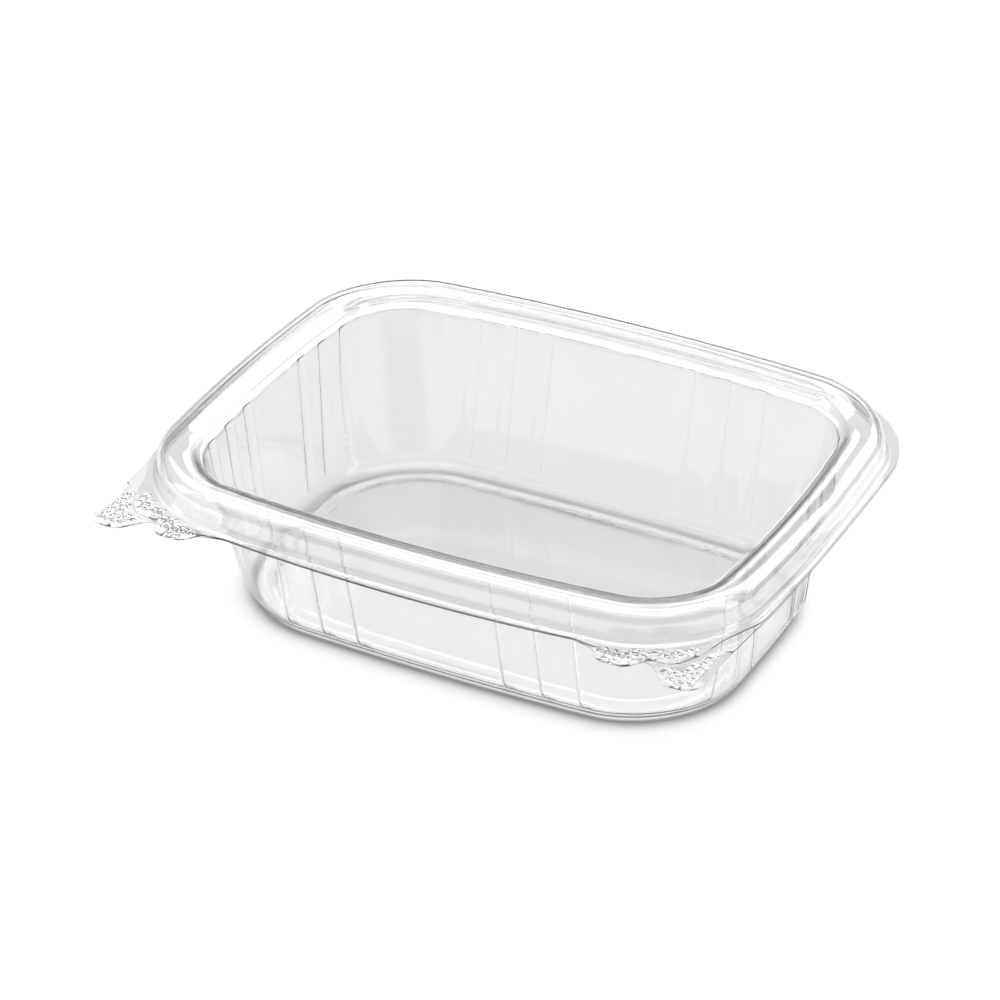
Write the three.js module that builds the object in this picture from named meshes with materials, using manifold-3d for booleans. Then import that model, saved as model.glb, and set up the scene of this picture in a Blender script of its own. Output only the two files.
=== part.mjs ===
// A clear takeaway meal container: a deep tray and its hinged lid, each formed from one thin sheet.
// Millimetres, +Z up. The long side runs along X, the hinge is at the back (+Y), and z = 0 is the
// surface that the tray stands on.

import * as THREE from 'three';
import { mergeVertices } from 'three/addons/utils/BufferGeometryUtils.js';
import Module from 'manifold-3d';

const wasm = await Module();
wasm.setup();

// Sheet thickness of both pieces.
const SHEET = 0.35;

// Plan of the sealing ridge on its outside, and of the tray's wall carried down to its foot.
// A side bows outward by its bow at its middle.
const RIDGE = { halfX: 77.0, halfY: 58.9, radius: 24.7, bowX: 3.6, bowY: 5.0 };
const FOOT = { halfX: 65.4, halfY: 41.2, radius: 27.5, bowX: 1.2, bowY: 2.5 };

// Heights of the middle of the sheet.
const LID_FLANGE_Z = 37.9;
const TRAY_FLANGE_Z = 37.2;
const LID_CREST_Z = 45.7;
const LID_PANEL_Z = 42.2;
const TRAY_CREST_Z = 44.4;
const LEDGE_Z = 41.3;
const CONTACT_Z = SHEET / 2;
const FLOOR_Z = 1.8;

// Ribs of the tray's walls: two groups of three on each side, pressed outward.
const LEDGE_INSET = 10.9;
const RIBS_LONG = [20, 30, 40];
const RIBS_SHORT = [13.5, 23, 32.5];
const RIB_HALF_WIDTH = 2.3;
const RIB_CREST_SHARE = 0.45;
const RIB_DEPTH = 0.8;
const ARC_STEPS = 4;
const CORNER_MARGIN = 1;
const MIDDLE_OF_CORNER = Math.PI / 4;

// Flange: how far its edges stand from the middle, and the pull tabs at its front corners.
const FLANGE_SIDE = 81.0;
const FLANGE_SIDE_BOW = 1.3;
const FLANGE_SIDE_REACH = 50;
const FLANGE_FRONT = 64.6;
const FLANGE_FRONT_BOW = 2.4;
const FLANGE_FRONT_REACH = 46;
const FLANGE_BACK = 66.0;
const FLANGE_BACK_RADIUS = 33;
const TAB_REACH = 71.2;
const LID_TAB_REACH = 69.9;
const HINGE_LAND_HALF = 46;
const HINGE_LAND_EDGE = 71.2;
const EDGE_STEPS = 3;
const ARC_DEGREES = 24;

// Gripping relief on the tabs.
const PYRAMID_PITCH = 4.0;
const PYRAMID_HEIGHT = 0.6;
const PYRAMID_SINK = 0.1;
const PYRAMID_RADIUS = 1.9;
const PYRAMID_MARGIN = 1.7;
const TAB_INNER_X = 52;
const TAB_INNER_Y = -53;
const LID_CLEARANCE = 1.6;

const CLEAR_COLOUR = 0xeef2f4;
const CLEAR_ROUGHNESS = 0.08;
const CLEAR_OPACITY = 0.35;

// Plans

function shrink(plan, by) {
  return {
    halfX: plan.halfX - by,
    halfY: plan.halfY - by,
    radius: Math.max(plan.radius - by, 4),
    bowX: plan.bowX,
    bowY: plan.bowY,
  };
}

function mix(from, to, share) {
  const plan = {};
  for (const key of Object.keys(from)) {
    plan[key] = from[key] + (to[key] - from[key]) * share;
  }
  return plan;
}

// Half of one side, from its middle to the middle of its corner. Each place is how far it lies along
// the side and how far it falls back from it. A rib takes four places, which meet where it is flat.
function halfSide(half, radius, ribs, scale, ribDepth) {
  const straight = half - radius;
  const turn = (along) => Math.asin(Math.max(0, along - straight) / radius);
  const places = [];
  for (const rib of ribs) {
    for (const [offset, raised] of [[-1, 0], [-RIB_CREST_SHARE, 1], [RIB_CREST_SHARE, 1], [1, 0]]) {
      const width = ribDepth > 0 ? RIB_HALF_WIDTH * offset : 0;
      const along = (rib + width) * scale;
      const angle = turn(along);
      const out = ribDepth * raised;
      places.push([along + out * Math.sin(angle), radius * (1 - Math.cos(angle)) - out * Math.cos(angle)]);
    }
  }
  const last = (ribs[ribs.length - 1] + RIB_HALF_WIDTH) * scale + CORNER_MARGIN;
  const start = turn(Math.max(straight, last));
  for (let i = 0; i <= ARC_STEPS; i += 1) {
    const angle = start + ((MIDDLE_OF_CORNER - start) * i) / ARC_STEPS;
    places.push([straight + radius * Math.sin(angle), radius * (1 - Math.cos(angle))]);
  }
  return places;
}

function bowed(plan, x, y) {
  const nearX = x / plan.halfX;
  const nearY = y / plan.halfY;
  return [x + plan.bowX * nearX * (1 - nearY * nearY), y + plan.bowY * nearY * (1 - nearX * nearX)];
}

// One closed line round the container, anticlockwise from above. Every ring has as many points.
function ring(plan, z, ribDepth = 0) {
  const ledge = shrink(RIDGE, LEDGE_INSET);
  const long = halfSide(plan.halfX, plan.radius, RIBS_LONG, plan.halfX / ledge.halfX, ribDepth);
  const short = halfSide(plan.halfY, plan.radius, RIBS_SHORT, plan.halfY / ledge.halfY, ribDepth);
  const points = [];
  for (let side = 0; side < 4; side += 1) {
    const places = side % 2 ? short : long;
    const half = side % 2 ? plan.halfY : plan.halfX;
    const reach = side % 2 ? plan.halfX : plan.halfY;
    const before = places.map(([along, back]) => [-along, back]).reverse();
    const whole = [...before, [0, 0], ...places.slice(0, -1)];
    for (const [along, back] of whole) {
      const out = reach - back;
      const corner = [[along, -out], [out, along], [-along, out], [-out, -along]][side];
      points.push([...bowed(plan, ...corner), z]);
    }
    if (half <= plan.radius) throw new Error('a side has no straight stretch');
  }
  return points;
}

// Profiles: from the flange inward, each station has a plan, a height and the depth of its ribs.

function lidProfile() {
  const at = (inset, z) => ({ plan: shrink(RIDGE, inset), z, rib: 0 });
  return [
    // The foot of the outer wall, with a fine crease above and below its plain band.
    at(-1.2, LID_FLANGE_Z),
    at(-0.6, LID_FLANGE_Z + 0.55),
    at(-0.45, LID_FLANGE_Z + 1.2),
    at(0.0, LID_FLANGE_Z + 1.6),
    at(0.12, LID_FLANGE_Z + 5.2),
    at(0.5, LID_FLANGE_Z + 5.6),
    // The broad crest between its two rounded shoulders.
    at(0.75, LID_CREST_Z - 1.4),
    at(1.35, LID_CREST_Z - 0.5),
    at(2.4, LID_CREST_Z - 0.05),
    at(7.1, LID_CREST_Z),
    at(8.1, LID_CREST_Z - 0.4),
    at(8.7, LID_CREST_Z - 1.2),
    // The short inner wall down to the flat panel.
    at(9.2, LID_CREST_Z - 2.4),
    at(9.7, LID_PANEL_Z + 0.25),
    at(10.5, LID_PANEL_Z),
  ];
}

function trayProfile() {
  const at = (inset, z) => ({ plan: shrink(RIDGE, inset), z, rib: 0 });
  const top = shrink(RIDGE, LEDGE_INSET);
  const onWall = (z, rib, inset = 0) => {
    const share = (LEDGE_Z - z) / LEDGE_Z;
    return { plan: shrink(mix(top, FOOT, share), inset), z, rib };
  };
  return [
    // The sealing ridge, which the lid's ridge covers with a small gap all round.
    at(-0.9, TRAY_FLANGE_Z),
    at(0.5, TRAY_FLANGE_Z + 0.9),
    at(0.95, TRAY_FLANGE_Z + 2.6),
    at(1.25, TRAY_CREST_Z - 1.4),
    at(1.9, TRAY_CREST_Z - 0.4),
    at(2.9, TRAY_CREST_Z),
    at(6.7, TRAY_CREST_Z),
    at(7.5, TRAY_CREST_Z - 0.45),
    at(7.95, TRAY_CREST_Z - 1.4),
    at(8.4, LEDGE_Z + 0.4),
    at(9.1, LEDGE_Z),
    at(10.5, LEDGE_Z),
    // The tapered wall and its ribs.
    onWall(LEDGE_Z - 0.6, 0),
    onWall(LEDGE_Z - 1.6, RIB_DEPTH),
    onWall(4.6, RIB_DEPTH),
    onWall(4.0, 0),
    // Two fine creases at the foot, the heel, the ring that touches the table and the raised floor.
    onWall(3.7, 0, 0.35),
    onWall(2.4, 0, 0.55),
    onWall(2.1, 0, 0.9),
    onWall(1.1, 0, 1.6),
    onWall(0.45, 0, 2.6),
    onWall(CONTACT_Z, 0, 3.9),
    onWall(CONTACT_Z, 0, 7.6),
    onWall(FLOOR_Z - 0.4, 0, 9.6),
    onWall(FLOOR_Z, 0, 11.0),
  ];
}

// One face of the sheet: the profile moved half a sheet along its own normal.
function face(profile, side) {
  const flat = profile.map(({ plan, z }) => new THREE.Vector2(-(plan.halfX + plan.halfY) / 2, z));
  return profile.map((station, i) => {
    const before = flat[Math.max(i - 1, 0)];
    const after = flat[Math.min(i + 1, flat.length - 1)];
    const inward = flat[i].clone().sub(before).normalize();
    const onward = after.clone().sub(flat[i]).normalize();
    const tangent = inward.add(onward).normalize();
    const arm = i === 0 ? onward : flat[i].clone().sub(before).normalize();
    const spread = Math.max(Math.abs(tangent.dot(arm)), 0.6);
    const reach = (side * SHEET) / 2 / spread;
    const level = i === 0 || i === flat.length - 1;
    const normal = level ? new THREE.Vector2(0, 1) : new THREE.Vector2(-tangent.y, tangent.x);
    const plan = shrink(station.plan, level ? 0 : normal.x * reach);
    return ring(plan, station.z + normal.y * (level ? (side * SHEET) / 2 : reach), station.rib);
  });
}

// Flange outlines

function roundCorner(before, corner, after, radius) {
  const toBefore = before.clone().sub(corner).normalize();
  const toAfter = after.clone().sub(corner).normalize();
  const inside = Math.acos(THREE.MathUtils.clamp(toBefore.dot(toAfter), -1, 1));
  const start = corner.clone().addScaledVector(toBefore, radius / Math.tan(inside / 2));
  const middle = toBefore.clone().add(toAfter).normalize();
  const centre = corner.clone().addScaledVector(middle, radius / Math.sin(inside / 2));
  const sweep = Math.PI - inside;
  const way = Math.sign(toAfter.cross(toBefore)) || 1;
  const steps = Math.max(2, Math.ceil(THREE.MathUtils.radToDeg(sweep) / ARC_DEGREES));
  const points = [];
  for (let i = 0; i <= steps; i += 1) {
    points.push(start.clone().rotateAround(centre, (way * sweep * i) / steps));
  }
  return points;
}

// The right half from the middle of the front to the middle of the back, then its mirror image.
// A corner is [x, y, radius]. The side starts at the given place, past the corners of the tab.
function flangeOutline(tabCorners, sideStart) {
  const corners = [];
  for (let i = 0; i < EDGE_STEPS; i += 1) {
    const x = (FLANGE_FRONT_REACH * i) / EDGE_STEPS;
    const bow = FLANGE_FRONT_BOW * (1 - (x / FLANGE_FRONT_REACH) ** 2);
    corners.push([x, -FLANGE_FRONT - bow, 0]);
  }
  corners.push(...tabCorners);
  for (let i = 1 - EDGE_STEPS; i < EDGE_STEPS; i += 1) {
    const y = (FLANGE_SIDE_REACH * i) / EDGE_STEPS;
    const bow = FLANGE_SIDE_BOW * (1 - (y / FLANGE_SIDE_REACH) ** 2);
    if (y >= sideStart && y <= FLANGE_BACK - FLANGE_BACK_RADIUS) corners.push([FLANGE_SIDE + bow, y, 0]);
  }
  corners.push([FLANGE_SIDE + FLANGE_SIDE_BOW / 2, FLANGE_BACK, FLANGE_BACK_RADIUS - 2]);
  corners.push([HINGE_LAND_HALF + 2.5, FLANGE_BACK, 1.5]);
  corners.push([HINGE_LAND_HALF, HINGE_LAND_EDGE, 2]);
  const half = [];
  corners.forEach(([x, y, radius], i) => {
    const corner = new THREE.Vector2(x, y);
    const before = corners[i - 1];
    const after = corners[i + 1] || [0, HINGE_LAND_EDGE];
    if (radius > 0) {
      half.push(...roundCorner(new THREE.Vector2(...before), corner, new THREE.Vector2(...after), radius));
    } else {
      half.push(corner);
    }
  });
  const mirrored = half.slice(1).reverse().map((point) => new THREE.Vector2(-point.x, point.y));
  return [...half, ...mirrored];
}

// The lid's tab is the lobe nearer the middle, and the tray's tab is the lobe on the corner.
const LID_OUTLINE = flangeOutline([
  [FLANGE_FRONT_REACH, -FLANGE_FRONT, 8],
  [51.9, -66.2, 3],
  [54.6, -LID_TAB_REACH, 3],
  [61.4, -LID_TAB_REACH, 3.5],
  [65.4, -64.4, 3],
  [71.2, -64.0, 5],
  [75.0, -57.5, 6],
  [76.6, -50.0, 10],
  [81.4, -39.0, 10],
], -35);
const TRAY_OUTLINE = flangeOutline([
  [FLANGE_FRONT_REACH, -FLANGE_FRONT, 8],
  [66.4, -65.0, 4],
  [71.4, -TAB_REACH, 4],
  [80.2, -TAB_REACH, 5],
  [80.3, -52.0, 8],
], -35);

// Solids

function inside(polygon, x, y) {
  let within = false;
  polygon.forEach((a, i) => {
    const b = polygon[(i + 1) % polygon.length];
    const crosses = a.y > y !== b.y > y;
    if (crosses && x < ((b.x - a.x) * (y - a.y)) / (b.y - a.y) + a.x) within = !within;
  });
  return within;
}

function clearOf(polygon, x, y) {
  const point = new THREE.Vector3(x, y, 0);
  const nearest = new THREE.Vector3();
  const line = new THREE.Line3();
  let least = Infinity;
  polygon.forEach((a, i) => {
    const b = polygon[(i + 1) % polygon.length];
    line.start.set(a.x, a.y, 0);
    line.end.set(b.x, b.y, 0);
    line.closestPointToPoint(point, true, nearest);
    least = Math.min(least, nearest.distanceTo(point));
  });
  return least;
}

function toManifold(geometry) {
  const plain = geometry.clone();
  plain.deleteAttribute('normal');
  plain.deleteAttribute('uv');
  const merged = mergeVertices(plain, 1e-4);
  const index = merged.index.array;
  const triangles = [];
  for (let i = 0; i < index.length; i += 3) {
    const [a, b, c] = [index[i], index[i + 1], index[i + 2]];
    if (a !== b && b !== c && c !== a) triangles.push(a, b, c);
  }
  const mesh = new wasm.Mesh({
    numProp: 3,
    vertProperties: Float32Array.from(merged.attributes.position.array),
    triVerts: Uint32Array.from(triangles),
  });
  return new wasm.Manifold(mesh);
}

function toGeometry(solid) {
  const mesh = solid.getMesh();
  const geometry = new THREE.BufferGeometry();
  geometry.setAttribute('position', new THREE.BufferAttribute(Float32Array.from(mesh.vertProperties), 3));
  geometry.setIndex([...mesh.triVerts]);
  geometry.computeVertexNormals();
  return geometry;
}

// The whole sheet: an upper and a lower face, each a flange round a stack of rings, and the flange's edge.
function sheetSolid(profile, outline, flangeZ) {
  const corners = [];
  const put = (up, a, b, c) => corners.push(...a, ...(up ? b : c), ...(up ? c : b));
  for (const side of [1, -1]) {
    const up = side > 0;
    const rings = face(profile, side);
    const z = flangeZ + (side * SHEET) / 2;
    const hole = rings[0].filter(([x, y], i) => {
      const [nextX, nextY] = rings[0][(i + 1) % rings[0].length];
      return Math.hypot(x - nextX, y - nextY) > 1e-4;
    });
    const holePoints = hole.map(([x, y]) => new THREE.Vector2(x, y));
    const all = [...outline, ...holePoints].map((point) => [point.x, point.y, z]);
    for (const [a, b, c] of THREE.ShapeUtils.triangulateShape(outline, [holePoints])) {
      const area = (all[b][0] - all[a][0]) * (all[c][1] - all[a][1]) - (all[c][0] - all[a][0]) * (all[b][1] - all[a][1]);
      put(up === area > 0, all[a], all[b], all[c]);
    }
    for (let i = 0; i + 1 < rings.length; i += 1) {
      rings[i].forEach((a, k) => {
        const next = (k + 1) % rings[i].length;
        put(up, a, rings[i][next], rings[i + 1][next]);
        put(up, a, rings[i + 1][next], rings[i + 1][k]);
      });
    }
    const last = rings[rings.length - 1];
    const middle = [0, 0, last[0][2]];
    last.forEach((a, k) => put(up, a, last[(k + 1) % last.length], middle));
  }
  outline.forEach((a, i) => {
    const b = outline[(i + 1) % outline.length];
    const [low, high] = [flangeZ - SHEET / 2, flangeZ + SHEET / 2];
    put(true, [a.x, a.y, low], [b.x, b.y, low], [b.x, b.y, high]);
    put(true, [a.x, a.y, low], [b.x, b.y, high], [a.x, a.y, high]);
  });
  const geometry = new THREE.BufferGeometry();
  geometry.setAttribute('position', new THREE.BufferAttribute(Float32Array.from(corners), 3));
  return toManifold(geometry);
}

// Small pyramids on the tabs, in a diamond lattice wherever the place is free.
function withGrip(solid, topZ, isFree) {
  const pyramid = new THREE.ConeGeometry(PYRAMID_RADIUS, PYRAMID_HEIGHT + PYRAMID_SINK, 4);
  pyramid.rotateX(Math.PI / 2);
  pyramid.translate(0, 0, (PYRAMID_HEIGHT - PYRAMID_SINK) / 2 + topZ);
  let joined = solid;
  const rows = Math.ceil(FLANGE_SIDE / PYRAMID_PITCH);
  for (let row = -rows; row < rows; row += 1) {
    for (let column = -rows; column <= rows; column += 1) {
      const x = (column + (row % 2) / 2) * PYRAMID_PITCH;
      const y = (row * PYRAMID_PITCH) / 2;
      if (Math.abs(x) > TAB_INNER_X && y < TAB_INNER_Y && isFree(x, y)) {
        joined = joined.add(toManifold(pyramid.clone().translate(x, y, 0)));
      }
    }
  }
  return joined;
}

const RIDGE_FOOT = ring(shrink(RIDGE, -LID_CLEARANCE), 0).map(([x, y]) => new THREE.Vector2(x, y));

function lidSolid() {
  const sheet = sheetSolid(lidProfile(), LID_OUTLINE, LID_FLANGE_Z);
  const isFree = (x, y) => {
    const onFlange = inside(LID_OUTLINE, x, y) && clearOf(LID_OUTLINE, x, y) > PYRAMID_MARGIN;
    return onFlange && !inside(RIDGE_FOOT, x, y) && clearOf(RIDGE_FOOT, x, y) > PYRAMID_MARGIN;
  };
  return withGrip(sheet, LID_FLANGE_Z + SHEET / 2, isFree);
}

function traySolid() {
  const sheet = sheetSolid(trayProfile(), TRAY_OUTLINE, TRAY_FLANGE_Z);
  const isFree = (x, y) => {
    const onFlange = inside(TRAY_OUTLINE, x, y) && clearOf(TRAY_OUTLINE, x, y) > PYRAMID_MARGIN;
    return onFlange && !inside(LID_OUTLINE, x, y) && clearOf(LID_OUTLINE, x, y) > PYRAMID_MARGIN + 0.3;
  };
  return withGrip(sheet, TRAY_FLANGE_Z + SHEET / 2, isFree);
}

function clearMaterial() {
  return new THREE.MeshStandardMaterial({
    color: CLEAR_COLOUR,
    roughness: CLEAR_ROUGHNESS,
    metalness: 0,
    transparent: true,
    opacity: CLEAR_OPACITY,
  });
}

const group = new THREE.Group();
for (const [name, solid] of [['base_tray', traySolid()], ['lid', lidSolid()]]) {
  const mesh = new THREE.Mesh(toGeometry(solid), clearMaterial());
  mesh.name = name;
  group.add(mesh);
}

export default group;
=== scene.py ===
import math

import bmesh
import bpy
import numpy as np
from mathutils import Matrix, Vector
from mathutils.geometry import delaunay_2d_cdt


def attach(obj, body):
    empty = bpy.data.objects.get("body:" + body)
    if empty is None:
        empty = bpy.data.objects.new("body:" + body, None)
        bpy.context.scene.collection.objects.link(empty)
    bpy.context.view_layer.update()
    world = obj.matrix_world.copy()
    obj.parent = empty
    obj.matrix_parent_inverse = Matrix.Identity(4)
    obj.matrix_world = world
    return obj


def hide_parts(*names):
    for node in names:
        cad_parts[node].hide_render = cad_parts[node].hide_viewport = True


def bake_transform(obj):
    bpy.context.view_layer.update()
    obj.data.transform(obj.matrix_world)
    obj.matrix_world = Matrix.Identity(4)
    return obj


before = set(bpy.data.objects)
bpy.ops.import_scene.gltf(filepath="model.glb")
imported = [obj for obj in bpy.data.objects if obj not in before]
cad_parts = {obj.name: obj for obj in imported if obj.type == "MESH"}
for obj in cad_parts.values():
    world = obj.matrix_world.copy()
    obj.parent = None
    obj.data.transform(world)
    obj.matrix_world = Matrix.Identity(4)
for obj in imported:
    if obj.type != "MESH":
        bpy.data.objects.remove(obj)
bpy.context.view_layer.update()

MM = 0.001

# The camera that the photograph was taken with, by its angles, distance and lens.
AZIMUTH = math.radians(27.33)
ELEVATION = math.radians(31.64)
CAMERA_DISTANCE = 0.9818
AIM = Vector((0, 0, 0.02418))
LENS = 144.5
SHIFT = (-0.0225, 0.0082)

# Plans in millimetres, of the sealing ridge's outside and the wall's foot: half length, half depth,
# corner radius, and how far the ends and the long sides bow outward. An inset takes the same off the
# first three.
RIDGE = np.array([77.0, 58.9, 24.7, 3.6, 5.0])
FOOT = np.array([65.4, 41.2, 27.5, 1.2, 2.5])
INSET = np.array([1.0, 1.0, 1.0, 0.0, 0.0])

# The sheet's thickness, also at the tabs' edge, and heights of the middle of the sheet.
SHEET = 0.35
TAB_EDGE = 0.1
LID_FLANGE = 37.9
TRAY_FLANGE = 37.2
LID_CREST = 45.7
LID_PANEL = 42.2
TRAY_CREST = 44.4
LEDGE = 41.3
LEDGE_INSET = 10.9
CONTACT = SHEET / 2 + 0.03
FLOOR = 1.8

# Ribs of the tray's walls, by their distance from the middle of each side. A rib's shoulders run
# from its half width at the wall to its half width at the top.
RIBS_LONG = (20.0, 30.0, 40.0)
RIBS_SHORT = (13.5, 23.0, 32.5)
RIB_HALF = 2.4
RIB_TOP = 0.7
RIB_DEPTH = 0.8

# How finely a ring is divided: over a shoulder, along a side and round half a corner.
RIB_STEPS = 5
ALONG_STEP = 1.1
CORNER_STEPS = 15

# Rings that close in on the middle of the lid's panel and of the tray's slightly raised floor.
MIDDLE_RINGS = 8
MIDDLE_GAP = 0.35
FLOOR_CROWN = 0.25

# The flange's outline, its tabs and the land that the hinge takes up.
FLANGE_SIDE, SIDE_BOW, SIDE_REACH = 81.0, 1.3, 50.0
FLANGE_FRONT, FRONT_BOW, FRONT_REACH = 64.6, 2.4, 46.0
FLANGE_BACK, BACK_RADIUS = 66.0, 33.0
TRAY_TAB, LID_TAB = 71.2, 69.9
LAND_HALF, LAND_EDGE = 46.0, 71.2
OUTLINE_STEP = 1.6
ARC_DEGREES = 9

# The gripping blocks on the tabs: their pitch, half widths and height, the share of a block's width
# that its top takes up, and the share of its height that also shows on the sheet's underside.
GRIP_PITCH = 2.3
GRIP_HALVES = (1.15, 0.95, 0.75)
GRIP_HEIGHT = 0.42
GRIP_TOP = 0.5
GRIP_UNDERSIDE = 0.55
GRIP_MARGIN = 0.2

# Where the blocks may stand, and where the tabs' thinned edge begins, across and towards the back.
GRIP_COLUMNS = range(-40, 40)
GRIP_ROWS = range(-34, -20)
GRIP_FROM, GRIP_BACK = 50, -51.5
THINNED_FROM, THINNED_BACK = 49, -52
BLOCK_CORNERS = ((-1, -1), (1, -1), (1, 1), (-1, 1))

# The creased strip at the back, in millimetres: its height, half thickness and thinned crease.
HINGE_Z = 37.55
STRIP_HALF = 0.11
CREASE_LOSS = 0.05
CREASE_HALF = 0.12


def plan_at(inset):
    return RIDGE - INSET * inset


def bowed(plan, x, y):
    """Places of a plain rounded rectangle, moved out by the bow of its sides."""
    near_x, near_y = x / plan[0], y / plan[1]
    return x + plan[3] * near_x * (1 - near_y**2), y + plan[4] * near_y * (1 - near_x**2)


def places_along(ribs):
    """Where a half side is sampled, in millimetres from its middle at the ledge, closer over a rib."""
    shoulder = np.linspace(RIB_TOP, RIB_HALF, RIB_STEPS + 1)
    over = np.concatenate([-shoulder[::-1], [0], shoulder])
    places = [np.zeros(1)]
    for rib in ribs:
        start = places[-1][-1]
        gap = rib - RIB_HALF - start
        pieces = math.ceil(gap / ALONG_STEP)
        places.append(start + gap * np.arange(1, pieces) / pieces)
        places.append(rib + over)
    return np.concatenate([*places, [ribs[-1] + RIB_HALF + 1]])


LONG_PLACES = places_along(RIBS_LONG)
SHORT_PLACES = places_along(RIBS_SHORT)


def raised_over(ribs, places):
    """How far each place stands up on a rib, from 0 to 1, with soft shoulders."""
    away = np.min(np.abs(places[:, None] - np.array(ribs)[None]), axis=1)
    share = np.clip((RIB_HALF - away) / (RIB_HALF - RIB_TOP), 0, 1)
    return share * share * (3 - 2 * share)


def half_side(half, radius, places, raised, scale, rib):
    """Places along half a side: how far along it, and how far back from it, each one lies."""
    straight = half - radius
    along = places * scale
    angle = np.arcsin(np.clip((along - straight) / radius, 0, 1))
    out = rib * raised
    back = radius * (1 - np.cos(angle)) - out * np.cos(angle)
    first = np.stack([along + out * np.sin(angle), back], axis=1)
    start = angle[-1]
    turn = start + (math.pi / 4 - start) * np.arange(1, CORNER_STEPS + 1) / CORNER_STEPS
    corner = np.stack([straight + radius * np.sin(turn), radius * (1 - np.cos(turn))], axis=1)
    return np.concatenate([first, corner])


LEDGE_PLAN = plan_at(LEDGE_INSET)
LONG_RAISED = raised_over(RIBS_LONG, LONG_PLACES)
SHORT_RAISED = raised_over(RIBS_SHORT, SHORT_PLACES)


def ring(plan, z, rib):
    """One closed line round the container, anticlockwise from above."""
    long = half_side(plan[0], plan[2], LONG_PLACES, LONG_RAISED, plan[0] / LEDGE_PLAN[0], rib)
    short = half_side(plan[1], plan[2], SHORT_PLACES, SHORT_RAISED, plan[1] / LEDGE_PLAN[1], rib)
    points = []
    for side in range(4):
        places = short if side % 2 else long
        reach = plan[0] if side % 2 else plan[1]
        whole = np.concatenate([places[:0:-1] * (-1, 1), places[:-1]])
        along, out = whole[:, 0], reach - whole[:, 1]
        x, y = [(along, -out), (out, along), (-along, out), (-out, -along)][side]
        points.append(np.stack(bowed(plan, x, y), axis=1))
    flat = np.concatenate(points)
    return np.column_stack([flat, np.full(len(flat), z)])


def smoothed(stations, reach=0.8, steps=4, longest=4.0):
    """Rounds each corner of a profile whose stations are a plan, a height and a rib depth."""
    rows = np.array([[*plan, z, rib] for plan, z, rib in stations])
    flat = np.column_stack([-(rows[:, 0] + rows[:, 1]) / 2, rows[:, 5]])
    lengths = np.linalg.norm(np.diff(flat, axis=0), axis=1)
    made = [rows[0]]
    for i in range(1, len(rows) - 1):
        cut_in = min(reach, 0.46 * lengths[i - 1]) / lengths[i - 1]
        cut_out = min(reach, 0.46 * lengths[i]) / lengths[i]
        start = rows[i] + (rows[i - 1] - rows[i]) * cut_in
        end = rows[i] + (rows[i + 1] - rows[i]) * cut_out
        for t in np.linspace(0, 1, steps):
            made.append((1 - t) ** 2 * start + 2 * t * (1 - t) * rows[i] + t * t * end)
    made.append(rows[-1])
    filled = [made[0]]
    for before, after in zip(made, made[1:]):
        gap = math.hypot((after[0] + after[1] - before[0] - before[1]) / 2, after[5] - before[5])
        pieces = max(1, math.ceil(gap / longest))
        filled += [before + (after - before) * k / pieces for k in range(1, pieces + 1)]
    return filled


def lid_stations():
    def at(inset, z):
        return (plan_at(inset), z, 0.0)

    f, c = LID_FLANGE, LID_CREST
    return smoothed([
        at(-1.45, f), at(-1.0, f), at(-0.6, f + 0.55), at(-0.45, f + 1.2), at(0.0, f + 1.6),
        at(0.1, f + 3.9), at(0.35, c - 2.7), at(1.0, c - 1.4), at(2.0, c - 0.55), at(3.4, c - 0.08),
        at(5.2, c - 0.1), at(6.6, c - 0.42), at(7.9, c - 0.85), at(8.8, c - 1.5), at(9.6, c - 2.75),
        at(10.2, LID_PANEL + 0.25), at(11.0, LID_PANEL), at(13.0, LID_PANEL),
    ])


def tray_stations():
    def at(inset, z):
        return (plan_at(inset), z, 0.0)

    def on_wall(z, rib=0.0, inset=0.0):
        share = (LEDGE - z) / LEDGE
        return (LEDGE_PLAN + (FOOT - LEDGE_PLAN) * share - INSET * inset, z, rib)

    f, c = TRAY_FLANGE, TRAY_CREST
    return smoothed([
        at(-1.25, f), at(-0.7, f), at(0.5, f + 0.9), at(0.95, f + 2.6), at(1.1, c - 2.4), at(1.5, c - 1.3),
        at(2.4, c - 0.5), at(3.7, c - 0.06), at(5.2, c - 0.12), at(7.6, c - 0.5), at(8.7, c - 1.0),
        at(9.4, c - 1.65), at(9.9, LEDGE + 0.4), at(10.2, LEDGE), (plan_at(10.75), LEDGE, 0.4 * RIB_DEPTH),
        on_wall(LEDGE - 0.7, RIB_DEPTH), on_wall(5.4, RIB_DEPTH), on_wall(3.9),
        on_wall(3.6, 0, 0.35), on_wall(2.4, 0, 0.55), on_wall(2.1, 0, 0.9), on_wall(1.1, 0, 1.6),
        on_wall(0.45, 0, 2.6), on_wall(CONTACT, 0, 3.9), on_wall(CONTACT, 0, 6.5),
        on_wall(FLOOR - 0.35, 0, 7.3), on_wall(FLOOR, 0, 7.8), on_wall(FLOOR, 0, 11.0),
    ], reach=0.7, steps=3)


def rounded_corner(before, corner, after, radius):
    """Points along the arc that rounds a corner of the flange's edge."""
    to_before = (before - corner) / np.linalg.norm(before - corner)
    to_after = (after - corner) / np.linalg.norm(after - corner)
    inside = math.acos(max(-1, min(1, float(to_before @ to_after))))
    start = corner + to_before * radius / math.tan(inside / 2)
    middle = (to_before + to_after) / np.linalg.norm(to_before + to_after)
    centre = corner + middle * radius / math.sin(inside / 2)
    sweep = math.pi - inside
    way = 1 if to_after[0] * to_before[1] - to_after[1] * to_before[0] > 0 else -1
    steps = max(2, math.ceil(sweep / math.radians(ARC_DEGREES)))
    arm = start - centre
    points = []
    for i in range(steps + 1):
        a = way * sweep * i / steps
        points.append(centre + np.array([
            arm[0] * math.cos(a) - arm[1] * math.sin(a), arm[0] * math.sin(a) + arm[1] * math.cos(a)]))
    return points


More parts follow.
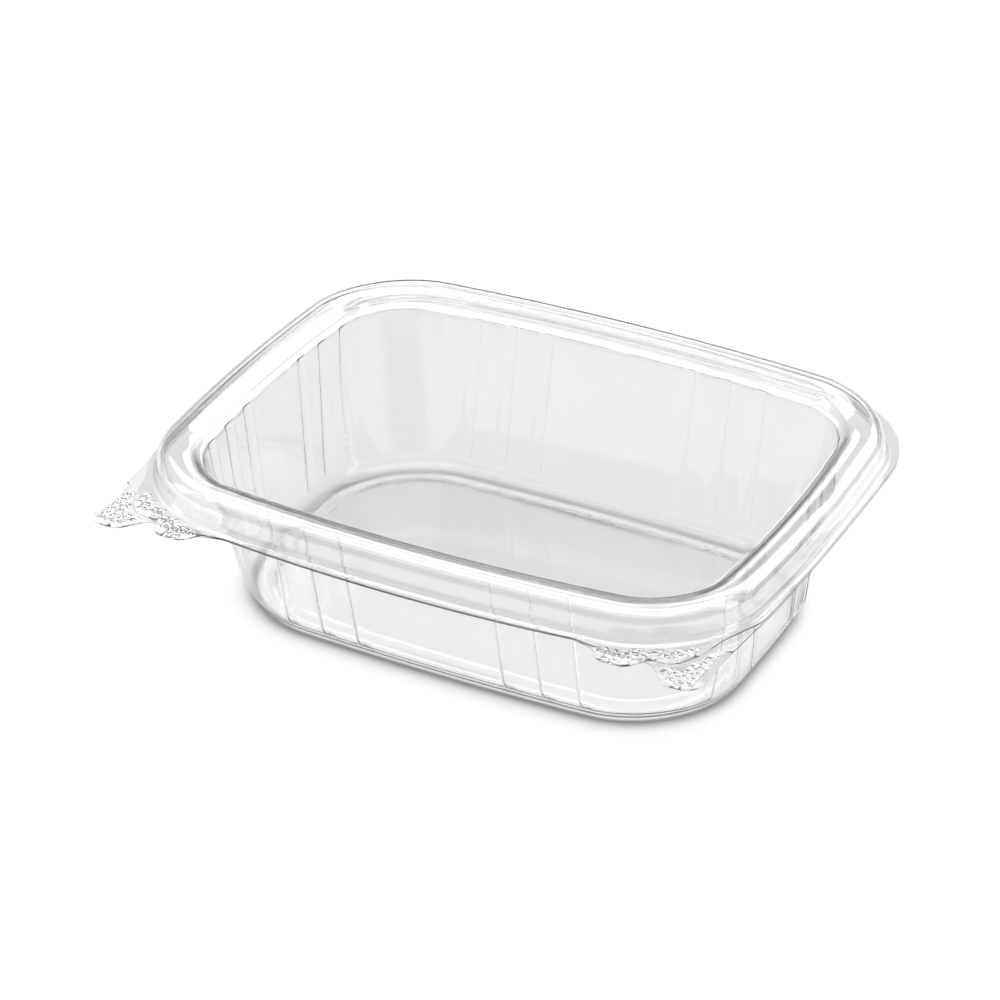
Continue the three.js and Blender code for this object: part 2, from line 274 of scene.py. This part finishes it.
def flange_outline(tab_corners, side_start, front):
    """The flange's edge from above, the right half and its mirror image. A corner is (x, y, radius)."""
    corners = []
    for x in np.arange(0, FRONT_REACH, OUTLINE_STEP):
        corners.append((x, -front - FRONT_BOW * (1 - (x / FRONT_REACH) ** 2), 0))
    corners += tab_corners
    for y in np.arange(side_start, FLANGE_BACK - BACK_RADIUS, OUTLINE_STEP):
        corners.append((FLANGE_SIDE + SIDE_BOW * (1 - (y / SIDE_REACH) ** 2), y, 0))
    corners += [
        (FLANGE_SIDE + SIDE_BOW / 2, FLANGE_BACK, BACK_RADIUS - 2),
        (LAND_HALF + 2.5, FLANGE_BACK, 1.5), (LAND_HALF, LAND_EDGE, 2), (0, LAND_EDGE, 0),
    ]
    half = []
    for i, (x, y, radius) in enumerate(corners[:-1]):
        if radius > 0:
            before, after = np.array(corners[i - 1][:2]), np.array(corners[i + 1][:2])
            half += rounded_corner(before, np.array([x, y]), after, radius)
        else:
            half.append(np.array([x, y]))
    half = np.array(half)
    return np.concatenate([half, (half[1:] * (-1, 1))[::-1]])


LID_OUTLINE = flange_outline([
    (FRONT_REACH, -FLANGE_FRONT, 8), (51.9, -66.2, 3), (54.6, -LID_TAB, 3), (61.4, -LID_TAB, 3.5),
    (65.4, -64.4, 3), (71.2, -64.0, 5), (75.0, -57.5, 6), (76.6, -50.0, 10), (81.4, -39.0, 10),
], -33.4, FLANGE_FRONT)
TRAY_OUTLINE = flange_outline([
    (FRONT_REACH, -FLANGE_FRONT + 0.8, 8), (66.4, -65.0, 4), (71.4, -TRAY_TAB, 4), (80.2, -TRAY_TAB, 5),
    (80.3, -52.0, 8),
], -33.4, FLANGE_FRONT - 0.8)


def is_inside(polygon, points):
    a, b = polygon, np.roll(polygon, -1, axis=0)
    x, y = points[:, 0, None], points[:, 1, None]
    crosses = (a[:, 1] > y) != (b[:, 1] > y)
    rise = np.where(b[:, 1] == a[:, 1], 1e-12, b[:, 1] - a[:, 1])
    left = x < (b[:, 0] - a[:, 0]) * (y - a[:, 1]) / rise + a[:, 0]
    return (crosses & left).sum(axis=1) % 2 == 1


def distance_to(polygon, points):
    a, b = polygon, np.roll(polygon, -1, axis=0)
    arm = b - a
    to = points[:, None] - a[None]
    t = np.clip((to * arm).sum(axis=2) / np.maximum((arm * arm).sum(axis=1), 1e-12), 0, 1)
    return np.linalg.norm(to - t[..., None] * arm, axis=2).min(axis=1)


def grip_cells(outline, hole, taken):
    """Blocks of the gripping relief on the tabs, each with its half width, smaller where the tab ends."""
    p = GRIP_PITCH
    centres = np.array([
        (i * p + p / 2, j * p + p / 2) for i in GRIP_COLUMNS for j in GRIP_ROWS
        if abs(i * p + p / 2) > GRIP_FROM and (j * p + p / 2) < GRIP_BACK])
    found = {}
    for half in GRIP_HALVES:
        places = (centres[:, None] + half * np.array(BLOCK_CORNERS)[None]).reshape(-1, 2)
        free = is_inside(outline, places) & (distance_to(outline, places) > GRIP_MARGIN)
        free &= ~is_inside(hole, places) & (distance_to(hole, places) > 2 * GRIP_MARGIN)
        if taken is not None:
            free &= ~is_inside(taken, places) & (distance_to(taken, places) > GRIP_MARGIN)
        for k in np.flatnonzero(free.reshape(-1, 4).all(axis=1)):
            found.setdefault(int(k), half)
    return [(*centres[k], half) for k, half in found.items()]


def flange_sheet(outline, hole, z, taken):
    """A flat triangulated flange between its outline and the ridge's foot, with blocks on its tabs."""
    points, edges, heights = [], [], {}

    def add_loop(loop):
        first = len(points)
        points.extend(Vector((float(x), float(y))) for x, y in loop)
        edges.extend((first + i, first + (i + 1) % len(loop)) for i in range(len(loop)))

    add_loop(outline)
    add_loop(hole)
    known = {}

    def corner(x, y, height):
        key = (round(x, 3), round(y, 3))
        if key not in known:
            known[key] = len(points)
            points.append(Vector((x, y)))
            heights[key] = height
        return known[key]

    for x, y, h in grip_cells(outline, hole, taken):
        low = [corner(x + h * sx, y + h * sy, 0.0) for sx, sy in BLOCK_CORNERS]
        rise = GRIP_HEIGHT * (h / GRIP_HALVES[0]) ** 2
        top = [corner(x + h * GRIP_TOP * sx, y + h * GRIP_TOP * sy, rise) for sx, sy in BLOCK_CORNERS]
        for i in range(4):
            n = (i + 1) % 4
            edges.extend([(low[i], low[n]), (top[i], top[n]), (low[i], top[i])])
    made = delaunay_2d_cdt(points, edges, [], 0, 1e-6)
    flat = np.array([tuple(p) for p in made[0]])
    triangles = np.array([f for f in made[2] if len(f) == 3])
    middles = flat[triangles].mean(axis=1)
    kept = is_inside(outline, middles) & ~is_inside(hole, middles)
    raised = np.array([heights.get((round(x, 3), round(y, 3)), 0.0) for x, y in flat])
    return np.column_stack([flat, np.full(len(flat), z)]), triangles[kept], raised


def with_middle(rings, crown):
    """The rings of a profile with more inside the last one, rising by a crown towards the middle."""
    inner = []
    for k in range(1, MIDDLE_RINGS + 1):
        share = k / (MIDDLE_RINGS + MIDDLE_GAP)
        step = rings[-1] * (1 - share, 1 - share, 1)
        step[:, 2] = rings[-1][0, 2] + crown * (1 - (1 - share) ** 2)
        inner.append(step)
    return np.concatenate([rings, np.array(inner)])


def directions_off(rings):
    """The direction straight off the sheet at each place, which is upwards where the flange begins."""
    along = np.roll(rings, -1, axis=1) - np.roll(rings, 1, axis=1)
    down = np.concatenate([rings[1:2] - rings[:1], rings[2:] - rings[:-2], rings[-1:] - rings[-2:-1]])
    normals = np.cross(along, down)
    normals[0] = (0, 0, 1)
    return normals / np.linalg.norm(normals, axis=2, keepdims=True)


def close_rim(mesh, flange_z):
    """Joins the sheet's two faces along the flange's edge."""
    rim = [e for e in mesh.edges if e.is_boundary]
    by_place = {}

    def at_place(vert):
        return by_place.setdefault((round(vert.co.x, 6), round(vert.co.y, 6)), {})

    for e in rim:
        for v in e.verts:
            at_place(v)[v.co.z > flange_z * MM] = v
    for e in rim:
        a, b = e.verts
        if a.co.z < flange_z * MM:
            continue
        low_a, low_b = at_place(a).get(False), at_place(b).get(False)
        if low_a and low_b:
            mesh.faces.new((a, b, low_b, low_a))


def placed(mesh, name, sharp):
    """Puts a shell into the scene, smooth but for the edges sharper than an angle in degrees."""
    bmesh.ops.recalc_face_normals(mesh, faces=mesh.faces)
    data = bpy.data.meshes.new(name)
    mesh.to_mesh(data)
    mesh.free()
    data.shade_smooth()
    data.set_sharp_from_angle(angle=math.radians(sharp))
    piece = bpy.data.objects.new(name, data)
    bpy.context.scene.collection.objects.link(piece)
    return piece


def sheet_piece(name, stations, outline, flange_z, taken=None, crown=0.0):
    """A closed shell of even thickness: flange, rings of the profile and the panel inside the last ring."""
    profile = np.array([ring(row[:5], row[5], row[6]) for row in stations])
    middle_z = profile[-1][0, 2] + crown
    rings = with_middle(profile, crown)
    normals = directions_off(rings)
    count = rings.shape[1]
    flat, triangles, raised = flange_sheet(outline, rings[0][:, :2], flange_z, taken)
    on_edge = distance_to(outline, flat[:, :2]) < 1e-3
    on_tab = on_edge & (np.abs(flat[:, 0]) > THINNED_FROM) & (flat[:, 1] < THINNED_BACK)
    half_thick = np.where(on_tab, TAB_EDGE / 2, SHEET / 2)
    mesh = bmesh.new()
    for side in (1, -1):
        shell = rings + normals * side * SHEET / 2
        verts = [[mesh.verts.new(Vector(p) * MM) for p in line] for line in shell]
        for i in range(len(verts) - 1):
            for k in range(count):
                n = (k + 1) % count
                quad = (verts[i][k], verts[i][n], verts[i + 1][n], verts[i + 1][k])
                mesh.faces.new(quad if side > 0 else quad[::-1])
        middle = mesh.verts.new(Vector((0, 0, middle_z + side * SHEET / 2)) * MM)
        for k in range(count):
            fan = (verts[-1][k], verts[-1][(k + 1) % count], middle)
            mesh.faces.new(fan if side > 0 else fan[::-1])
        level = flat.copy()
        level[:, 2] += side * half_thick + raised * (1 if side > 0 else GRIP_UNDERSIDE)
        plate = [mesh.verts.new(Vector(p) * MM) for p in level]
        for a, b, c in triangles:
            ab, ac = flat[b] - flat[a], flat[c] - flat[a]
            up = ab[0] * ac[1] - ab[1] * ac[0] > 0
            face = (plate[a], plate[b], plate[c])
            mesh.faces.new(face if up == (side > 0) else face[::-1])
    loose = [v for v in mesh.verts if not v.link_faces]
    bmesh.ops.delete(mesh, geom=loose, context="VERTS")
    bmesh.ops.remove_doubles(mesh, verts=mesh.verts, dist=2e-6)
    close_rim(mesh, flange_z)
    piece = placed(mesh, name, 28)
    even = piece.modifiers.new("even_normals", "WEIGHTED_NORMAL")
    even.keep_sharp = True
    return piece


def hinge_piece(name):
    """The creased strip that joins the two flanges at the back, folded while the lid is closed."""
    fold = [(71.16, TRAY_FLANGE), (71.5, TRAY_FLANGE), (71.78, TRAY_FLANGE + 0.1), (71.9, HINGE_Z),
            (71.78, LID_FLANGE - 0.1), (71.5, LID_FLANGE), (71.16, LID_FLANGE)]
    line = [np.array(fold[0])]
    for i in range(1, len(fold) - 1):
        a, b, c = (np.array(p) for p in fold[i - 1:i + 2])
        for t in np.linspace(0, 1, 5):
            start, end = (a + b) / 2, (b + c) / 2
            line.append((1 - t) ** 2 * start + 2 * t * (1 - t) * b + t * t * end)
    line.append(np.array(fold[-1]))
    line = np.array([p for i, p in enumerate(line) if i == 0 or np.linalg.norm(p - line[i - 1]) > 1e-4])
    tangent = np.gradient(line, axis=0)
    normal = np.column_stack([tangent[:, 1], -tangent[:, 0]])
    normal /= np.linalg.norm(normal, axis=1, keepdims=True)
    thick = STRIP_HALF - CREASE_LOSS * np.exp(-(((line[:, 1] - HINGE_Z) / CREASE_HALF) ** 2))
    outer, inner = line + normal * thick[:, None], line - normal * thick[:, None]
    section = np.concatenate([outer, inner[::-1]])
    mesh = bmesh.new()
    xs = np.linspace(-LAND_HALF + 0.9, LAND_HALF - 0.9, 61)
    rows = [[mesh.verts.new(Vector((x, y, z)) * MM) for y, z in section] for x in xs]
    for before, after in zip(rows, rows[1:]):
        for k in range(len(section)):
            n = (k + 1) % len(section)
            mesh.faces.new((before[k], before[n], after[n], after[k]))
    half = len(line)
    for row in (rows[0], rows[-1]):
        for k in range(half - 1):
            mesh.faces.new((row[k], row[k + 1], row[2 * half - 2 - k], row[2 * half - 1 - k]))
    return placed(mesh, name, 40)


# Materials. The sheet's own colour is seen at a right angle; where it is seen on edge the colour is mixed
# towards a grey, a painted shade that darkens its silhouettes.
INDEX = 1.57
PAINTED_EDGE_SHADE = (0.38, 0.39, 0.39)
PAINTED_EDGE_SHADE_POWER = 5.0

# The heel that shades the table, in metres: a rounded rectangle round the floor's rim, by its core and
# its radii, and the slopes between which the shading fades out, as the upward part of the normal.
HEEL_CORE = (0.0377, 0.0142, 1.0)
HEEL_RADII = (0.0224, 0.0236)
HEEL_SLOPES = (0.82, 0.95)


def group_with(name, inputs, outputs):
    """A shader node group with its sockets, and the nodes that stand for its two ends."""
    tree = bpy.data.node_groups.new(name, "ShaderNodeTree")
    for label, kind, value in inputs:
        socket = tree.interface.new_socket(label, in_out="INPUT", socket_type=kind)
        socket.default_value = value
    for label, kind in outputs:
        tree.interface.new_socket(label, in_out="OUTPUT", socket_type=kind)
    return tree, tree.nodes.new("NodeGroupInput"), tree.nodes.new("NodeGroupOutput")


def node(tree, kind, **values):
    made = tree.nodes.new(kind)
    for key, value in values.items():
        setattr(made, key, value)
    return made


def forming_ripple():
    """The slow ripple and fine orange peel that forming leaves in a thin sheet, as a height."""
    tree, given, out = group_with(
        "forming_ripple",
        [("Ripple Size", "NodeSocketFloat", 60.0), ("Ripple", "NodeSocketFloat", 0.6),
         ("Peel Size", "NodeSocketFloat", 900.0), ("Peel", "NodeSocketFloat", 0.1)],
        [("Height", "NodeSocketFloat")])
    place = node(tree, "ShaderNodeTexCoord")
    total = None
    for size, amount in (("Ripple Size", "Ripple"), ("Peel Size", "Peel")):
        noise = node(tree, "ShaderNodeTexNoise")
        noise.inputs["Detail"].default_value = 1.5
        tree.links.new(place.outputs["Object"], noise.inputs["Vector"])
        tree.links.new(given.outputs[size], noise.inputs["Scale"])
        scaled = node(tree, "ShaderNodeMath", operation="MULTIPLY")
        tree.links.new(noise.outputs["Fac"], scaled.inputs[0])
        tree.links.new(given.outputs[amount], scaled.inputs[1])
        if total is None:
            total = scaled
        else:
            both = node(tree, "ShaderNodeMath", operation="ADD")
            tree.links.new(total.outputs[0], both.inputs[0])
            tree.links.new(scaled.outputs[0], both.inputs[1])
            total = both
    tree.links.new(total.outputs[0], out.inputs["Height"])
    return tree


def handling_haze():
    """Faint scuffs and haze from stacking, as a roughness."""
    tree, given, out = group_with(
        "handling_haze",
        [("Clear", "NodeSocketFloat", 0.02), ("Hazy", "NodeSocketFloat", 0.08),
         ("Scale", "NodeSocketFloat", 40.0)],
        [("Roughness", "NodeSocketFloat")])
    place = node(tree, "ShaderNodeTexCoord")
    noise = node(tree, "ShaderNodeTexNoise")
    noise.inputs["Detail"].default_value = 5.0
    tree.links.new(place.outputs["Object"], noise.inputs["Vector"])
    tree.links.new(given.outputs["Scale"], noise.inputs["Scale"])
    spread = node(tree, "ShaderNodeMapRange")
    spread.inputs["From Min"].default_value = 0.42
    spread.inputs["From Max"].default_value = 0.72
    tree.links.new(noise.outputs["Fac"], spread.inputs["Value"])
    blend = node(tree, "ShaderNodeMapRange")
    tree.links.new(spread.outputs[0], blend.inputs["Value"])
    tree.links.new(given.outputs["Clear"], blend.inputs["To Min"])
    tree.links.new(given.outputs["Hazy"], blend.inputs["To Max"])
    tree.links.new(blend.outputs[0], out.inputs["Roughness"])
    return tree


RIPPLE = forming_ripple()
HAZE = handling_haze()


def shaded_heel(tree, shade, heel, height):
    """What the tray lets by to the table: less through the steep low part of its heel, outside its rim."""
    facing = node(tree, "ShaderNodeNewGeometry")
    lean = node(tree, "ShaderNodeSeparateXYZ")
    tree.links.new(facing.outputs["Normal"], lean.inputs[0])
    slope = node(tree, "ShaderNodeMath", operation="ABSOLUTE")
    tree.links.new(lean.outputs["Z"], slope.inputs[0])
    place = node(tree, "ShaderNodeTexCoord")
    parts = node(tree, "ShaderNodeSeparateXYZ")
    tree.links.new(place.outputs["Object"], parts.inputs[0])
    by_height = node(tree, "ShaderNodeMapRange")
    by_height.inputs["From Max"].default_value = height
    by_height.inputs["To Min"].default_value = heel
    by_height.inputs["To Max"].default_value = shade
    tree.links.new(parts.outputs["Z"], by_height.inputs["Value"])
    by_slope = node(tree, "ShaderNodeMapRange")
    by_slope.inputs["From Min"].default_value, by_slope.inputs["From Max"].default_value = HEEL_SLOPES
    by_slope.inputs["To Max"].default_value = shade
    tree.links.new(slope.outputs[0], by_slope.inputs["Value"])
    tree.links.new(by_height.outputs[0], by_slope.inputs["To Min"])
    reach = place.outputs["Object"]
    for operation, amount in (("ABSOLUTE", None), ("SUBTRACT", HEEL_CORE), ("MAXIMUM", (0, 0, 0))):
        step = node(tree, "ShaderNodeVectorMath", operation=operation)
        tree.links.new(reach, step.inputs[0])
        if amount:
            step.inputs[1].default_value = amount
        reach = step.outputs["Vector"]
    far = node(tree, "ShaderNodeVectorMath", operation="LENGTH")
    tree.links.new(reach, far.inputs[0])
    outside = node(tree, "ShaderNodeMapRange")
    outside.inputs["From Min"].default_value, outside.inputs["From Max"].default_value = HEEL_RADII
    outside.inputs["To Min"].default_value = shade
    tree.links.new(far.outputs["Value"], outside.inputs["Value"])
    tree.links.new(by_slope.outputs[0], outside.inputs["To Max"])
    return outside.outputs[0]


def clear_sheet(name, tint, shade, ripple, peel, bump, clear, hazy, heel=None):
    """Clear formed sheet: it bends and mirrors light, its colour turns grey where it is seen on edge as
    painted shade, and its shadow is a pale one but at a tray's heel.
    """
    material = bpy.data.materials.new(name)
    material.use_nodes = True
    tree = material.node_tree
    tree.nodes.clear()
    surface = node(tree, "ShaderNodeBsdfPrincipled")
    # Painted shade: the base colour is mixed from the tint towards a grey as the sheet turns edge-on to the
    # view.
    across = node(tree, "ShaderNodeLayerWeight")
    across.inputs["Blend"].default_value = 0.5
    edge_shade_share = node(tree, "ShaderNodeMath", operation="POWER")
    edge_shade_share.inputs[1].default_value = PAINTED_EDGE_SHADE_POWER
    tree.links.new(across.outputs["Facing"], edge_shade_share.inputs[0])
    edge = node(tree, "ShaderNodeMix", data_type="RGBA")
    edge.inputs["A"].default_value = (*tint, 1)
    edge.inputs["B"].default_value = (*PAINTED_EDGE_SHADE, 1)
    tree.links.new(edge_shade_share.outputs[0], edge.inputs["Factor"])
    tree.links.new(edge.outputs["Result"], surface.inputs["Base Color"])
    surface.inputs["Transmission Weight"].default_value = 1.0
    surface.inputs["IOR"].default_value = INDEX
    surface.inputs["Metallic"].default_value = 0.0
    haze = node(tree, "ShaderNodeGroup", node_tree=HAZE)
    haze.inputs["Clear"].default_value = clear
    haze.inputs["Hazy"].default_value = hazy
    tree.links.new(haze.outputs["Roughness"], surface.inputs["Roughness"])
    forming = node(tree, "ShaderNodeGroup", node_tree=RIPPLE)
    forming.inputs["Ripple"].default_value = ripple
    forming.inputs["Peel"].default_value = peel
    bumped = node(tree, "ShaderNodeBump")
    bumped.inputs["Strength"].default_value = 1.0
    bumped.inputs["Distance"].default_value = bump
    tree.links.new(forming.outputs["Height"], bumped.inputs["Height"])
    tree.links.new(bumped.outputs["Normal"], surface.inputs["Normal"])
    light = node(tree, "ShaderNodeLightPath")
    let_by = node(tree, "ShaderNodeBsdfTransparent")
    let_by.inputs["Color"].default_value = (shade, shade, shade, 1)
    if heel:
        tree.links.new(shaded_heel(tree, shade, *heel), let_by.inputs["Color"])
    last = surface
    for ray in ("Is Diffuse Ray", "Is Shadow Ray"):
        mixed = node(tree, "ShaderNodeMixShader")
        tree.links.new(light.outputs[ray], mixed.inputs[0])
        tree.links.new(last.outputs[0], mixed.inputs[1])
        tree.links.new(let_by.outputs[0], mixed.inputs[2])
        last = mixed
    out = node(tree, "ShaderNodeOutputMaterial")
    tree.links.new(last.outputs[0], out.inputs["Surface"])
    return material


def finished(piece, material, body=None, node_name=None):
    """Gives a piece its material, and where one is named its body and the node that it stands for."""
    piece.data.materials.append(material)
    if body:
        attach(piece, body)
    if node_name:
        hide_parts(node_name)


tray = sheet_piece("tray_shell", tray_stations(), TRAY_OUTLINE, TRAY_FLANGE, LID_OUTLINE, FLOOR_CROWN)
lid = sheet_piece("lid_shell", lid_stations(), LID_OUTLINE, LID_FLANGE)
hinge = hinge_piece("hinge_web")
tray_finish = clear_sheet(
    "clear_tray", tint=(0.95, 0.952, 0.953), shade=0.985, ripple=0.1, peel=0.02, bump=0.0002,
    clear=0.02, hazy=0.06, heel=(0.04, 0.004))
lid_finish = clear_sheet(
    "clear_lid", tint=(0.98, 0.982, 0.983), shade=0.99, ripple=0.1, peel=0.02, bump=0.0002,
    clear=0.02, hazy=0.05)
hinge_finish = clear_sheet(
    "clear_hinge", tint=(0.955, 0.957, 0.958), shade=0.98, ripple=0.3, peel=0.03, bump=0.0001,
    clear=0.05, hazy=0.2)
finished(tray, tray_finish, "tray", "base_tray")
finished(lid, lid_finish, "lid", "lid")
finished(hinge, hinge_finish)
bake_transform(hinge)


# Floor, light and camera

floor_data = bpy.data.meshes.new("floor")
floor_data.from_pydata([(-4, -4, 0), (4, -4, 0), (4, 4, 0), (-4, 4, 0)], [], [(0, 1, 2, 3)])
floor = bpy.data.objects.new("floor", floor_data)
bpy.context.scene.collection.objects.link(floor)
paper = bpy.data.materials.new("floor_paper")
paper.use_nodes = True
paper_shader = paper.node_tree.nodes["Principled BSDF"]
paper_shader.inputs["Base Color"].default_value = (0.92, 0.92, 0.92, 1)
paper_shader.inputs["Roughness"].default_value = 1.0
paper_shader.inputs["Specular IOR Level"].default_value = 0.0
floor_data.materials.append(paper)


def towards(azimuth, elevation):
    """The direction in which a light or the camera stands, from angles in radians."""
    level = math.cos(elevation)
    return Vector((math.sin(azimuth) * level, -math.cos(azimuth) * level, math.sin(elevation)))


def soft_light(name, azimuth, elevation, distance, size, watts):
    """A rectangular light that faces the container, its angles in degrees."""
    lamp = bpy.data.lights.new(name, "AREA")
    lamp.shape = "RECTANGLE"
    lamp.size, lamp.size_y = size
    lamp.energy = watts
    holder = bpy.data.objects.new(name, lamp)
    back = towards(math.radians(azimuth), math.radians(elevation))
    holder.location = back * distance
    holder.rotation_euler = back.to_track_quat("Z", "Y").to_euler()
    bpy.context.scene.collection.objects.link(holder)


soft_light("overhead", 0, 88, 1.6, (2.2, 1.8), 23)
soft_light("back_bank", 190, 47, 2.5, (4.0, 0.7), 22)
soft_light("back_low_strip", 204, 22, 2.5, (1.3, 0.34), 2.2)
soft_light("back_right_bank", 167, 29, 2.5, (1.8, 0.8), 9)
soft_light("left_strip", 285, 28, 1.2, (0.25, 0.9), 1.3)
soft_light("right_strip", 95, 28, 1.2, (0.25, 0.9), 1.3)

world = bpy.data.worlds.new("studio")
world.use_nodes = True
bpy.context.scene.world = world
sky = world.node_tree
direction = node(sky, "ShaderNodeTexCoord")
parts = node(sky, "ShaderNodeSeparateXYZ")
shades = node(sky, "ShaderNodeValToRGB")
sky.links.new(direction.outputs["Generated"], parts.inputs[0])
sky.links.new(parts.outputs["Z"], shades.inputs[0])
sky.links.new(shades.outputs["Color"], sky.nodes["Background"].inputs["Color"])
stops = shades.color_ramp.elements
for place in (0.25, 0.6):
    stops.new(place)
for stop, grey in zip(stops, (0.04, 0.08, 0.2, 0.4)):
    stop.color = (grey, grey, grey, 1)

camera_data = bpy.data.cameras.new("camera")
camera = bpy.data.objects.new("camera", camera_data)
bpy.context.scene.collection.objects.link(camera)
back = towards(AZIMUTH, ELEVATION)
camera.location = AIM + back * CAMERA_DISTANCE
camera.rotation_euler = back.to_track_quat("Z", "Y").to_euler()
camera_data.lens = LENS
camera_data.sensor_width = 36
camera_data.shift_x, camera_data.shift_y = SHIFT
camera_data.clip_start, camera_data.clip_end = 0.01, 50
bpy.context.scene.camera = camera
bpy.context.scene.view_settings.view_transform = "Standard"
